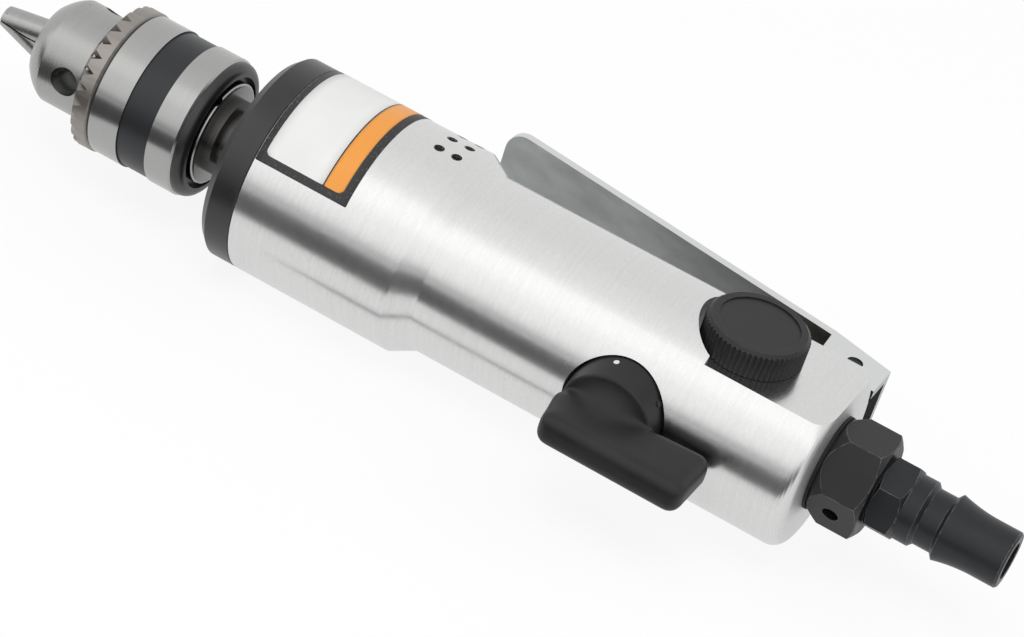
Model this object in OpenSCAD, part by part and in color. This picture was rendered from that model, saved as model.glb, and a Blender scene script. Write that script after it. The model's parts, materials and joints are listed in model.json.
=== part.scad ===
// Straight reversible air drill with a keyed three-jaw chuck.
// +X points forward along the spindle, +Z is the regulator knob's side, +Y the reverse switch's side.
// Stations are measured backwards from the housing's front edge, where the origin lies on the spindle axis.

/* [Housing] */
// Radius of the round front section
body_r = 21.6; // [20.8:0.1:23]
// Station where the cone behind the front section begins
cone_s = 34.7; // [33:0.1:36]
// Station where the handle begins
handle_s = 39.8; // [38.5:0.1:42]
// Radius of the handle
handle_r = 18.9; // [18.2:0.1:20]
// Length of the housing
body_len = 120.4; // [108:0.1:138]
// Length of the housing behind the motor
valve_len = 50.1; // [44:0.1:56]
// Rounding of the housing's rear edge
rear_round = 3.1; // [2:0.1:4]
// Radius of the bore that takes the gear train
front_bore_r = 18; // [17.8:0.1:18.6]
// Radius of the bore that takes the motor cylinder
motor_bore_r = 15.6; // [15.4:0.1:16]
// Depth of the milled flat below the handle's top
flat_depth = 4.3; // [3:0.1:5]
// Reach of the flat in front of the knob's middle
flat_lead = 4.3; // [2:0.1:6]
// Radius of an exhaust hole
exhaust_r = 1.1; // [0.7:0.1:1.4]
// Station of the first exhaust row
exhaust_s = 28.5; // [27.5:0.1:29.5]
// Distance between the exhaust rows
exhaust_pitch = 3.9; // [3.2:0.1:4.5]

/* [Front cap] */
// Length of the cap in front of the housing
cap_len = 7.1; // [6.5:0.1:8]
// Length of the bevel on the cap's front edge
cap_bevel_len = 1.6; // [1:0.1:3]
// Height of the bevel on the cap's front edge
cap_bevel_h = 1.5; // [0.8:0.1:2.5]
// Length of the spigot inside the housing
spigot_len = 6; // [5:0.1:6.4]

/* [Chuck] */
// Station of the jaw tips, ahead of the housing
jaw_tip = 68.1; // [66:0.1:70]
// Station of the nose's front face, ahead of the housing
nose_front = 56.6; // [56:0.1:57.2]
// Length of the nose's rounded front
nose_cone_len = 4; // [3:0.1:5]
// Radius of the nose's front face
nose_face_r = 8.1; // [7.4:0.1:8.8]
// Radius of the nose
nose_r = 11.2; // [10.9:0.1:11.3]
// Radius of the sleeve
sleeve_r = 15; // [14.6:0.1:16]
// Station of the key ring's front edge, ahead of the housing
ring_front = 43.3; // [43:0.1:43.6]
// Length of the key ring
ring_len = 5.3; // [5:0.1:5.6]
// Length of the bright band in front of the dark band
band_front_len = 7; // [6:0.1:8]
// Length of the dark band
band_len = 6.75; // [5:0.1:8]
// Length of the bright band behind the dark band
band_rear_len = 5.85; // [5.5:0.1:6.5]
// Depth of the dark band
band_depth = 0.3; // [0.1:0.05:0.5]
// Length of the black rear ring
rear_ring_len = 2.1; // [1.9:0.1:2.5]
// Radius of the chuck's rear hub
hub_r = 11; // [10.95:0.05:11.15]
// Number of teeth on the key ring
ring_teeth = 28; // [18:1:30]
// Radius of a key hole
key_hole_r = 3; // [2.5:0.1:3.2]
// Radius of a jaw rod
jaw_r = 2.8; // [2.5:0.1:2.9]
// Slant of a jaw rod against the spindle axis
jaw_slant = 15.5; // [14:0.5:16]
// Length of a jaw along the spindle axis
jaw_len = 27.4; // [26.5:0.1:27.8]
// Largest drill diameter
capacity = 6; // [4:0.5:6.5]
// Turn of the chuck about the spindle at rest
chuck_turn = 87; // [0:1:120]

/* [Gears] */
// Gear module
gear_m = 0.6; // [0.56:0.01:0.62]
// Teeth of the sun pinion
sun_teeth = 12; // [12:6:12]
// Teeth of a planet gear
planet_teeth = 18; // [18:6:18]
// Length of a planet gear
planet_len = 7.2; // [6:0.1:7.4]
// Length of the ring gear
ring_gear_len = 12.2; // [11.8:0.1:12.6]
// Radius of a planet pin
planet_pin_r = 1.5; // [1.2:0.1:1.8]

/* [Motor] */
// Radius of the rotor
rotor_r = 11.7; // [11:0.1:11.8]
// Radius of the cylinder's bore
cylinder_bore_r = 13.2; // [13.1:0.1:13.4]
// Distance of the cylinder's bore from the spindle axis
cylinder_offset = 1.3; // [1:0.1:1.35]
// Thickness of an end plate
plate_len = 7; // [6.6:0.1:7.4]
// Thickness of the gasket
gasket_len = 0.6; // [0.4:0.1:1]
// Thickness of a vane
vane_w = 1.6; // [1.2:0.1:2]
// Depth of a vane
vane_h = 6; // [5:0.1:6.4]

/* [Bearings] */
// Spindle bearing: inner radius
spindle_brg_in = 5; // [4.9:0.1:5.2]
// Spindle bearing: outer radius
spindle_brg_out = 11; // [10.6:0.1:11.4]
// Spindle bearing: width
spindle_brg_w = 6; // [5.6:0.1:6.2]
// Front rotor bearing: inner radius
front_brg_in = 4.5; // [4.4:0.1:4.8]
// Front rotor bearing: outer radius
front_brg_out = 8.5; // [8.3:0.1:9]
// Rear rotor bearing: inner radius
rear_brg_in = 3; // [2.8:0.1:3.2]
// Rear rotor bearing: outer radius
rear_brg_out = 7.5; // [7.2:0.1:8]
// Width of both rotor bearings
rotor_brg_w = 5; // [4.6:0.1:5.2]

/* [Throttle] */
// Half width of the lever
lever_half_w = 8.4; // [8:0.1:8.8]
// Thickness of the lever's sheet
lever_t = 1.8; // [1.5:0.1:1.9]
// Station of the lever's tip
lever_tip_s = 28; // [27:0.1:30]
// Height of the lever's outer face above the handle at its tip
lever_tip_rise = 20.5; // [18:0.1:22]
// Distance of the lever's bend from the housing's rear end
lever_bend_back = 14.1; // [13.6:0.1:15.3]
// Height of the lever's outer face above the handle at its bend
lever_bend_rise = 9.1; // [8.9:0.1:9.7]
// Reach of the lever behind the housing's rear end
lever_rear_over = 0.1; // [0:0.1:0.7]
// Height of the lever's outer face above the handle at its rear edge
lever_rear_rise = 5.4; // [5.1:0.1:6.1]
// Rounding of the lever's tip corners
lever_corner = 4.6; // [3:0.1:6]
// Distance of the lever pin from the housing's rear end
pin_back = 6.5; // [6:0.1:7]
// Height of the lever pin above the handle
pin_rise = 2.5; // [2.1:0.1:2.6]
// Radius of the lever pin
pin_r = 1.6; // [1.3:0.1:1.7]
// Radius of the throttle stem
stem_r = 2; // [1.6:0.1:2.2]
// Radius of the throttle valve's bore
valve_bore_r = 4.4; // [4.2:0.1:4.6]

/* [Regulator] */
// Place of the regulator knob, as a share of the valve part's length from the rear end
knob_share = 0.4281; // [0.418:0.001:0.438]
// Radius of the regulator knob
knob_r = 10.2; // [9.6:0.1:10.6]
// Height of the regulator knob
knob_h = 5.8; // [5:0.1:6.5]
// Ribs round the regulator knob
knob_ribs = 60; // [40:1:72]
// Radius of the spot face round the knob
spot_r = 11.25; // [11:0.05:11.4]
// Radius of the regulator spool's bore
reg_bore_r = 6; // [5.6:0.1:6.2]

/* [Reverse switch] */
// Place of the reverse switch, as a share of the valve part's length from the rear end
rev_share = 0.7465; // [0.74:0.001:0.754]
// Radius of the reverse switch's disc
disc_r = 10.3; // [10:0.1:10.5]
// Depth of the disc's outer face below the handle's side
disc_sink = 2.7; // [2.3:0.1:2.9]
// Thickness of the disc
disc_t = 2.5; // [2.2:0.1:2.7]
// Radius of the reverse spool's bore
rev_bore_r = 7; // [6.6:0.1:7.2]
// Height of the handle's outer face above the disc
grip_h = 18.3; // [16:0.1:20]
// Reach of the handle in front of its pivot
grip_front = 8.7; // [8:0.1:9.6]
// Reach of the handle behind its pivot
grip_rear = 21.8; // [20:0.1:23]
// Thickness of the handle
grip_t = 7; // [6.4:0.1:8]
// Height of the handle's overhang above the disc
grip_under_h = 4; // [3.4:0.1:5]
// Rounding of the handle's edges
grip_round = 2.6; // [2:0.1:3]

/* [Air inlet] */
// Width across the flats of the inlet bushing
bush_flats = 19; // [18:0.1:20]
// Length of the inlet bushing's hex
bush_len = 10.5; // [9.5:0.1:11.5]
// Radius of the inlet bushing's thread
bush_thread_r = 8.2; // [8:0.1:8.4]
// Width across the flats of the air plug's hex
plug_flats = 14; // [13.5:0.1:15]
// Length of the air plug's hex
plug_hex_len = 5.9; // [5.5:0.1:7]
// Radius of the air plug's collar
collar_r = 6.7; // [6.2:0.1:6.9]
// Length of the air plug's collar
collar_len = 3.5; // [3:0.1:4]
// Radius of the air plug's neck
neck_r = 5.8; // [5.5:0.05:6]
// Length of the air plug's neck
neck_len = 4.4; // [4:0.1:5]
// Radius of the air plug's head
head_r = 6.85; // [6.5:0.05:7.1]
// Length of the air plug's tapered head
head_len = 8.3; // [7:0.1:9]
// Radius of the air plug's tip
tip_r = 5.8; // [5.5:0.05:6.1]
// Length of the air plug's tip
tip_len = 5.1; // [4.4:0.1:5.8]
// Radius of the air plug's bore
plug_bore_r = 3.8; // [3:0.1:4]

/* [Hidden] */
$fn = 48;
// Overrun of every cut
over = 1;
// Running clearance, on the radius, of shafts and spools
run_gap = 0.05;
// Clearance between pieces that pass each other
free_gap = 0.3;
// Radius of a seal's cord
seal_cord_r = 0.7;
// Width and groove depth of a snap ring
clip_w = 1;
clip_groove = 0.5;
// Radius of a drilled air way
air_r = 2;
// Small edge chamfer
edge = 0.4;
// Steps of a rounded quarter
round_steps = 8;

// Stations that follow the housing's rear end
flat_z = handle_r - flat_depth;
knob_s = body_len - knob_share * valve_len;
rev_s = body_len - rev_share * valve_len;
disc_y = handle_r - disc_sink;
grip_y = disc_y + grip_h;
grip_under_y = disc_y + grip_under_h;

// Chuck
tip_outer_r = 2;
jaw_gap = 0.15;
nose_bend_share = 0.5;
jaw_axis_tip_r = tip_outer_r - jaw_r;
sleeve_s = ring_len - ring_front;
band_s = sleeve_s + band_front_len;
band_end_s = band_s + band_len;
sleeve_end_s = band_end_s + band_rear_len;
rear_ring_end_s = sleeve_end_s + rear_ring_len;
rear_ring_r = sleeve_r - edge;
rear_ring_round = 1.7;
rear_recess_r = 12.2;
rear_recess_len = 1.2;
hub_len = 0.7;
hub_round = 0.6;
hub_end_s = rear_ring_end_s + hub_len;
sleeve_wall = 2.1;
sleeve_in_r = sleeve_r - sleeve_wall;
sleeve_guide_len = 10.6;
ring_face_r = 11.9;
ring_r = sleeve_r + free_gap;
ring_bevel_len = 1.8;
notch_run = 2;
notch_half_w = 1.05;
root_lean = atan2(ring_bevel_len + notch_run - edge, ring_r - ring_face_r);
notch_spread = notch_half_w / (notch_run * cos(root_lean));
core_r = nose_r - free_gap;
nut_back = 0.8;
nut_s = nut_back - ring_front;
nut_len = 4;
nut_gap = 0.25;
nut_groove_r = 8.4;
thread_r = 4.76;
thread_len = 12.9;
thread_front_s = hub_end_s - thread_len;
screw_web = 1.5;
screw_head_r = 2.3;
screw_head_len = 3;
screw_r = 1.8;
screw_len = 8;
hex_key_r = 1.2;
bit_bore_r = capacity / 2 + free_gap;
key_hole_lead = 3.4;
key_hole_s = -ring_front - key_hole_lead;
key_hole_depth = 3.4;

// Gear train
pressure = 20;
gear_play = 0.12;
tip_share = 0.85;
root_share = 1.2;
ring_gear_teeth = sun_teeth + 2 * planet_teeth;
planet_count = 3;
gear_arm = (sun_teeth + planet_teeth) * gear_m / 2;
side_gap = 0.4;
brg_seat_s = 2.9;
spindle_brg_s = brg_seat_s - cap_len;
spindle_brg_end_s = spindle_brg_s + spindle_brg_w;
spacer_wall = 0.9;
spacer_flange_r = 8;
spacer_flange_len = 1.8;
carrier_hub_r = 6.5;
carrier_hub_len = 3.4;
carrier_s = spindle_brg_end_s + carrier_hub_len;
carrier_len = 3;
carrier_r = gear_arm + 3 * planet_pin_r - free_gap;
planet_s = carrier_s + carrier_len + side_gap;
plate_s = planet_s + planet_len + side_gap;
carrier_plate_len = 1.4;
ring_gear_end_s = spigot_len + ring_gear_len;

// Motor
cylinder_len = body_len - valve_len - gasket_len - 2 * plate_len - ring_gear_len - spigot_len;
front_plate_end_s = ring_gear_end_s + plate_len;
cylinder_r = motor_bore_r - 2 * run_gap;
cylinder_end_s = front_plate_end_s + cylinder_len;
rear_plate_end_s = cylinder_end_s + plate_len;
bulkhead_s = rear_plate_end_s + gasket_len;
rotor_s = front_plate_end_s + free_gap;
rotor_end_s = cylinder_end_s - free_gap;
vane_count = 5;
dowel_r = 1.2;
dowel_arm = (cylinder_r + cylinder_bore_r - cylinder_offset) / 2;
dowel_depth = 4;
felt_wall_gap = 0.1;

// Throttle lever, its lug and its valve
valve_lead = 0.95;
valve_s = knob_s - valve_lead;
pin_s = body_len - pin_back;
pin_h = handle_r + pin_rise;
lever_tip_h = handle_r + lever_tip_rise;
lever_bend_s = body_len - lever_bend_back;
lever_bend_h = handle_r + lever_bend_rise;
lever_rear_s = body_len + lever_rear_over;
lever_rear_h = handle_r + lever_rear_rise;
lug_half_w = lever_half_w - lever_t - free_gap;
lug_r = 2.25;
lug_reach = 5.6;
ear_sink = 3.3;
ear_h = handle_r - ear_sink;
ear_front_lead = 7.3;
ear_chamfer = 3.2;
pocket_depth = 4.3;
ear_pocket_h = handle_r - pocket_depth;
ear_pocket_lead = 8.6;
lever_slope = atan2(lever_tip_h - lever_bend_h, lever_bend_s - lever_tip_s);
lever_rear_slope = atan2(lever_bend_h - lever_rear_h, lever_rear_s - lever_bend_s);
lever_in_h = lever_bend_h + (lever_bend_s - valve_s) * tan(lever_slope) - lever_t / cos(lever_slope);
stem_tip_h = lever_in_h - free_gap;
valve_floor_h = 8;
guide_sink = 4.3;
valve_guide_h = handle_r - guide_sink;
valve_guide_len = 2.6;
poppet_r = 3.4;
poppet_len = 1.5;
poppet_h = valve_guide_h - free_gap - poppet_len;
spring_wire_r = 0.35;
spring_coils = 4;
spring_r = poppet_r - spring_wire_r - free_gap;
spring_h = poppet_h - valve_floor_h;

// Regulator
reg_floor_z = 6;
spool_gap = 0.5;
reg_stem_r = 4.2;
reg_shoulder_z = 8.6;
reg_seal_z = 5;
knob_gap = 0.1;
knob_bevel = 0.8;
rib_depth = 0.35;
knob_rim = 1.4;
knob_dish = 0.3;

// Reverse switch
rev_floor_y = 6;
rev_stem_r = 4.5;
rev_shoulder_y = 8.2;
rev_seal_y = 5.6;
rev_flat_y = 3;
hub_top_r = 9.4;
hub_h = 6.5;
flare_top_r = 3.3;
flare_len = 7;

// Air inlet
seal_len = 0.6;
seal_wall = 1.5;
bush_s = body_len + seal_len;
bush_end_s = bush_s + bush_len;
bush_thread_len = 9;
bush_turn = 25.7;
bush_hole_r = 1.7;
bush_hole_depth = 2;
plug_thread_r = 6.5;
plug_thread_len = 8;
plug_gap = 0.3;
plug_s = bush_end_s + plug_gap;
plug_collar_s = plug_s + plug_hex_len;
plug_neck_s = plug_collar_s + collar_len;
plug_head_s = plug_neck_s + neck_len;
plug_tip_s = plug_head_s + head_len;
plug_end_s = plug_tip_s + tip_len;
plug_turn = -8;
chamber_r = 5;
chamber_s = body_len - bush_thread_len - 4 * edge;
screen_r = 4.2;
screen_wall = 0.4;
screen_len = 6;

// Turns the drawing so that its Z axis becomes the station axis and its X axis points up
module along_spindle() rotate([0, -90, 0]) children();

// Solid of revolution about the spindle, from points of radius and station
module turned(points) along_spindle() rotate_extrude() polygon(points);

// Ring about the spindle
module ring(s0, s1, r_in, r_out) turned([[r_in, s0], [r_out, s0], [r_out, s1], [r_in, s1]]);

// Round bar along the spindle, at a height and a side offset from it
module bar(s0, s1, r, up = 0, side = 0)
    along_spindle() translate([up, side, s0]) cylinder(h = s1 - s0, r = r);

// Places a child at a station, with Z still up
module at(s) translate([-s, 0, 0]) children();

// Places a child at a station with its Z axis pointing to the reverse switch's side
module to_reverse(s) at(s) rotate([-90, 0, 0]) children();

// Places a child at a station with its Z axis pointing to the lever's side
module to_lever(s) at(s) rotate([90, 0, 0]) children();

// Points of a rounded corner, about a centre, between two angles
function arc(x, y, r, a0, a1) =
    [for (i = [0 : round_steps])
        let (a = a0 + (a1 - a0) * i / round_steps) [x + r * cos(a), y + r * sin(a)]];

// Share of a rise along a stretch that starts steep and flattens by a bend
function rise(k, bend) = k * (1 + bend - bend * k);

// Seal ring about its own Z axis
module seal(r_mid, z) translate([0, 0, z]) rotate_extrude() translate([r_mid, 0]) circle(r = seal_cord_r);

// Snap ring about its own Z axis, open on one side
module snap_ring(r_in, r_out, z) difference() {
    translate([0, 0, z]) cylinder(h = clip_w, r = r_out);
    translate([0, 0, z - over]) cylinder(h = clip_w + 2 * over, r = r_in);
    translate([0, -clip_w, z - over]) cube([r_out + over, 2 * clip_w, clip_w + 2 * over]);
}

// Involute gear outline
function involute(a) = tan(a) * 180 / PI - a;
function tooth_half(r, teeth, play) =
    let (pitch_r = teeth * gear_m / 2, base_r = pitch_r * cos(pressure))
    90 / teeth - play / pitch_r * 90 / PI + involute(pressure) - involute(acos(min(base_r / r, 1)));
function gear_points(teeth, tip_r, root_r, play) =
    let (base_r = teeth * gear_m / 2 * cos(pressure), low_r = max(base_r, root_r), steps = 3)
    [for (i = [0 : teeth - 1]) each let (
        mid = 360 * i / teeth,
        flank = [for (k = [0 : steps]) low_r + (tip_r - low_r) * k / steps],
        radii = concat([root_r], flank)
    ) concat(
        [for (r = radii)
            let (a = mid - tooth_half(max(r, low_r), teeth, play)) [r * cos(a), r * sin(a)]],
        [for (k = [len(radii) - 1 : -1 : 0])
            let (r = radii[k], a = mid + tooth_half(max(r, low_r), teeth, play)) [r * cos(a), r * sin(a)]]
    )];
module gear(teeth, s0, s1) {
    pitch_r = teeth * gear_m / 2;
    along_spindle() translate([0, 0, s0]) linear_extrude(s1 - s0)
        polygon(gear_points(teeth, pitch_r + tip_share * gear_m, pitch_r - root_share * gear_m, gear_play));
}

// Ball bearing pieces
function ball_pitch(r_in, r_out) = (r_in + r_out) / 2;
function ball_radius(r_in, r_out) = (r_out - r_in) * ball_share;
ball_share = 0.29;
ring_share = 0.3;
module bearing_groove(s0, w, r_in, r_out)
    along_spindle() translate([0, 0, s0 + w / 2]) rotate_extrude() translate([ball_pitch(r_in, r_out), 0])
        circle(r = ball_radius(r_in, r_out) + run_gap);
module bearing_outer(s0, w, r_in, r_out) color("silver") difference() {
    ring(s0, s0 + w, r_out - (r_out - r_in) * ring_share, r_out);
    bearing_groove(s0, w, r_in, r_out);
}
module bearing_inner(s0, w, r_in, r_out) color("silver") difference() {
    ring(s0, s0 + w, r_in, r_in + (r_out - r_in) * ring_share);
    bearing_groove(s0, w, r_in, r_out);
}
module bearing_balls(s0, w, r_in, r_out, count) color("gainsboro")
    for (i = [0 : count - 1]) along_spindle() rotate([0, 0, 360 * i / count])
        translate([ball_pitch(r_in, r_out), 0, s0 + w / 2]) sphere(r = ball_radius(r_in, r_out));

// Hex prism along the spindle with its corners turned off at both ends
module hex_bar(s0, s1, flats, turn, front_share) intersection() {
    along_spindle() translate([0, 0, s0]) rotate([0, 0, turn])
        cylinder(h = s1 - s0, r = flats / 2 / cos(30), $fn = 6);
    turned([[0, s0], [flats / 2 - edge / 2, s0], [flats / 2 / cos(30) + edge, s0 + flats * front_share],
        [flats / 2 / cos(30) + edge, s1 - flats * hex_turn_share], [flats / 2 - edge / 2, s1], [0, s1]]);
}
hex_turn_share = 0.07;
bush_turn_share = 0.19;

// Housing
module housing_blank() turned(concat(
    [[0, bulkhead_s], [motor_bore_r, bulkhead_s], [motor_bore_r, cone_s], [front_bore_r, cone_s],
        [front_bore_r, 0], [body_r, 0], [body_r, cone_s], [handle_r, handle_s]],
    arc(handle_r - rear_round, body_len - rear_round, rear_round, 0, 90),
    [[0, body_len]]));
module lever_lug() translate([0, 0, -lug_half_w]) linear_extrude(2 * lug_half_w) union() {
    translate([-pin_s, -pin_h]) circle(r = lug_r);
    polygon([[lug_r - pin_s, -pin_h], [-lug_r - pin_s, -pin_h],
        [-lug_reach - pin_s, -ear_pocket_h], [lug_reach - pin_s, -ear_pocket_h]]);
}
module ear_pockets() for (side = [-1, 1])
    translate([over - body_len - 2 * over, -handle_r - over, side > 0 ? lug_half_w : -ear_pocket_z])
        cube([body_len + over - pin_s + ear_pocket_lead, handle_r + over - ear_pocket_h,
            ear_pocket_z - lug_half_w]);
ear_pocket_z = lever_half_w + 2 * free_gap;
module exhaust_holes() for (row = [0, 1], turn = exhaust_turns)
    along_spindle() rotate([0, 0, turn]) translate([0, 0, exhaust_s + row * exhaust_pitch])
        rotate([0, 90, 0]) translate([0, 0, motor_bore_r]) cylinder(h = body_r, r = exhaust_r);
exhaust_turns = [1.5, -13.5, -28.5, -43.5, -58.5];
module milled_flat() {
    at(body_len + over) translate([0, -handle_r, flat_z])
        cube([body_len + over - knob_s + flat_lead, 2 * handle_r, handle_r]);
    at(knob_s) translate([0, 0, flat_z]) cylinder(h = handle_r, r = spot_r);
}
module valve_bores() {
    at(knob_s) translate([0, 0, -reg_floor_z]) cylinder(h = flat_z + reg_floor_z + over, r = reg_bore_r);
    at(knob_s) translate([0, 0, reg_shoulder_z + side_gap - run_gap])
        cylinder(h = clip_w + 2 * run_gap, r = reg_bore_r + clip_groove);
    to_reverse(rev_s) translate([0, 0, -rev_floor_y]) cylinder(h = disc_y + rev_floor_y, r = rev_bore_r);
    to_reverse(rev_s) translate([0, 0, disc_y - disc_t - free_gap])
        cylinder(h = handle_r, r = disc_r + free_gap);
    to_reverse(rev_s) translate([0, 0, rev_shoulder_y + side_gap - run_gap])
        cylinder(h = clip_w + 2 * run_gap, r = rev_bore_r + clip_groove);
    to_lever(valve_s) translate([0, 0, valve_floor_h]) cylinder(h = handle_r, r = valve_bore_r);
    bar(body_len - bush_thread_len, body_len + over, bush_thread_r);
    bar(chamber_s, body_len, chamber_r);
}
way_fall = (valve_floor_h + valve_guide_h) / 2 - chamber_r / 2;
way_run = chamber_s - valve_s;
module air_ways() {
    translate([-chamber_s - edge, -chamber_r / 2, 0]) rotate([0, 0, -atan2(way_fall, way_run)])
        rotate([0, 90, 0]) cylinder(h = norm([way_fall, way_run]), r = air_r);
    to_lever(valve_s) cylinder(h = valve_floor_h + over, r = air_r);
    bar(rev_s, knob_s, air_r);
    for (up = [-1, 1]) bar(bulkhead_s - over, rev_s - rev_bore_r + over, air_r, up * rev_bore_r / 2);
}
module housing() color("gainsboro") difference() {
    union() {
        difference() {
            housing_blank();
            ear_pockets();
        }
        lever_lug();
    }
    exhaust_holes();
    milled_flat();
    valve_bores();
    air_ways();
    translate([-pin_s, -pin_h, -lever_half_w]) cylinder(h = 2 * lever_half_w, r = pin_r);
}

// Front cap with the spindle bearing's seat
cap_hole_gap = 0.4;
seat_lip = 1.4;
module front_cap() color([0.1, 0.1, 0.1]) turned([
    [spindle_brg_in + spacer_wall + cap_hole_gap, -cap_len], [body_r - cap_bevel_h, -cap_len],
    [body_r, cap_bevel_len - cap_len], [body_r, -edge], [body_r - edge, 0], [front_bore_r - run_gap, 0],
    [front_bore_r - run_gap, spigot_len], [carrier_r + 2 * free_gap, spigot_len],
    [carrier_r + 2 * free_gap, spindle_brg_end_s + seat_lip], [spindle_brg_out, spindle_brg_end_s + seat_lip],
    [spindle_brg_out, spindle_brg_end_s + clip_w + run_gap],
    [spindle_brg_out + clip_groove, spindle_brg_end_s + clip_w + run_gap],
    [spindle_brg_out + clip_groove, spindle_brg_end_s], [spindle_brg_out, spindle_brg_end_s],
    [spindle_brg_out, spindle_brg_s],
    [spindle_brg_in + spacer_wall + cap_hole_gap, spindle_brg_s]]);
module bearing_clip() color("dimgray") along_spindle()
    snap_ring(spindle_brg_out - 2 * clip_groove, spindle_brg_out + clip_groove - run_gap, spindle_brg_end_s);

// Gear train
module ring_gear() color("darkgray") difference() {
    ring(spigot_len, ring_gear_end_s, 0, front_bore_r - run_gap);
    along_spindle() translate([0, 0, spigot_len - over]) rotate([0, 0, 180 / ring_gear_teeth])
        linear_extrude(ring_gear_len + 2 * over) polygon(gear_points(ring_gear_teeth,
            (ring_gear_teeth / 2 + root_share) * gear_m,
            (ring_gear_teeth / 2 - tip_share) * gear_m, -gear_play));
}
module planet_gear(i) color("darkgray") along_spindle() rotate([0, 0, 360 * i / planet_count])
    translate([gear_arm, 0, 0]) rotate([0, 0, 180 / planet_teeth]) difference() {
        rotate([0, 90, 0]) gear(planet_teeth, planet_s, planet_s + planet_len);
        translate([0, 0, planet_s - over]) cylinder(h = planet_len + 2 * over, r = planet_pin_r + run_gap);
    }
module planet_pins() color("silver") for (i = [0 : planet_count - 1]) along_spindle()
    rotate([0, 0, 360 * i / planet_count]) translate([gear_arm, 0, carrier_s])
        cylinder(h = plate_s + carrier_plate_len - carrier_s, r = planet_pin_r);
module pin_holes(s0, s1) for (i = [0 : planet_count - 1]) along_spindle()
    rotate([0, 0, 360 * i / planet_count]) translate([gear_arm, 0, s0])
        cylinder(h = s1 - s0, r = planet_pin_r);
module carrier_plate() color("gray") difference() {
    ring(plate_s, plate_s + carrier_plate_len, sun_teeth * gear_m / 2 + gear_m + side_gap, carrier_r);
    pin_holes(plate_s - over, plate_s + carrier_plate_len + over);
}
module spindle() color("gray") difference() {
    turned([[0, thread_front_s], [thread_r, thread_front_s], [thread_r, hub_end_s],
        [spindle_brg_in, hub_end_s], [spindle_brg_in, spindle_brg_end_s],
        [carrier_hub_r, spindle_brg_end_s], [carrier_hub_r, carrier_s],
        [carrier_r, carrier_s], [carrier_r, carrier_s + carrier_len], [0, carrier_s + carrier_len]]);
    pin_holes(carrier_s - over, carrier_s + carrier_len + over);
    bar(thread_front_s - over, thread_front_s + screw_len, screw_r);
}
module spindle_spacer() color("silver") turned([
    [spindle_brg_in, hub_end_s], [spacer_flange_r, hub_end_s],
    [spacer_flange_r, hub_end_s + spacer_flange_len],
    [spindle_brg_in + spacer_wall, hub_end_s + spacer_flange_len],
    [spindle_brg_in + spacer_wall, spindle_brg_s],
    [spindle_brg_in, spindle_brg_s]]);

// Motor
module rotor() color("slategray") difference() {
    union() {
        gear(sun_teeth, planet_s + side_gap, plate_s + carrier_plate_len);
        ring(plate_s + carrier_plate_len, ring_gear_end_s, 0, sun_teeth * gear_m / 2);
        ring(ring_gear_end_s, rotor_s, 0, front_brg_in);
        ring(rotor_s, rotor_end_s, 0, rotor_r);
        ring(rotor_end_s, rear_plate_end_s, 0, rear_brg_in);
    }
    vanes(rotor_s - over, rotor_end_s + over, vane_w + 2 * run_gap, over);
}
module vanes(s0, s1, w, extra) for (i = [0 : vane_count - 1]) along_spindle()
    rotate([0, 0, 360 * i / vane_count]) translate([rotor_r - vane_h, -w / 2, s0])
        cube([vane_h + extra, w, s1 - s0]);
module rotor_vanes() color("sienna") intersection() {
    vanes(rotor_s, rotor_end_s, vane_w, over);
    ring(rotor_s, rotor_end_s, 0, rotor_r - run_gap);
}
module dowel_hole(s0, s1) bar(s0, s1, dowel_r, -dowel_arm);
module cylinder_dowel() color("silver")
    dowel_hole(front_plate_end_s - dowel_depth, cylinder_end_s + dowel_depth);
module motor_cylinder() color("darkgray") difference() {
    ring(front_plate_end_s, cylinder_end_s, 0, cylinder_r);
    bar(front_plate_end_s - over, cylinder_end_s + over, cylinder_bore_r, cylinder_offset);
    dowel_hole(front_plate_end_s - over, cylinder_end_s + over);
    for (row = [0, 1]) at(exhaust_s + row * exhaust_pitch) translate([0, -cylinder_r - over, 0])
        rotate([-90, 0, 0]) cylinder(h = 2 * (cylinder_r + over), r = exhaust_r);
}
module front_end_plate() color("darkgray") difference() {
    turned([[front_brg_in + free_gap, ring_gear_end_s + rotor_brg_w],
        [front_brg_out, ring_gear_end_s + rotor_brg_w],
        [front_brg_out, ring_gear_end_s], [front_bore_r - run_gap, ring_gear_end_s],
        [front_bore_r - run_gap, front_plate_end_s], [front_brg_in + free_gap, front_plate_end_s]]);
    dowel_hole(front_plate_end_s - dowel_depth, front_plate_end_s + over);
}
module rear_end_plate() color("darkgray") difference() {
    turned([[rear_brg_in + free_gap, cylinder_end_s], [cylinder_r, cylinder_end_s],
        [cylinder_r, rear_plate_end_s],
        [rear_brg_out, rear_plate_end_s], [rear_brg_out, rear_plate_end_s - rotor_brg_w],
        [rear_brg_in + free_gap, rear_plate_end_s - rotor_brg_w]]);
    dowel_hole(cylinder_end_s - over, cylinder_end_s + dowel_depth);
    for (up = [-1, 1])
        bar(cylinder_end_s - over, rear_plate_end_s + over, air_r / 2, 0, up * (rear_brg_out + air_r));
}
module gasket() color("saddlebrown") difference() {
    ring(rear_plate_end_s, bulkhead_s, rear_brg_in, cylinder_r);
    for (up = [-1, 1]) bar(rear_plate_end_s - over, bulkhead_s + over, air_r, up * rev_bore_r / 2);
}
module muffler_felt() color("dimgray")
    ring(front_plate_end_s, cone_s, cylinder_r + felt_wall_gap, front_bore_r - felt_wall_gap);

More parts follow.
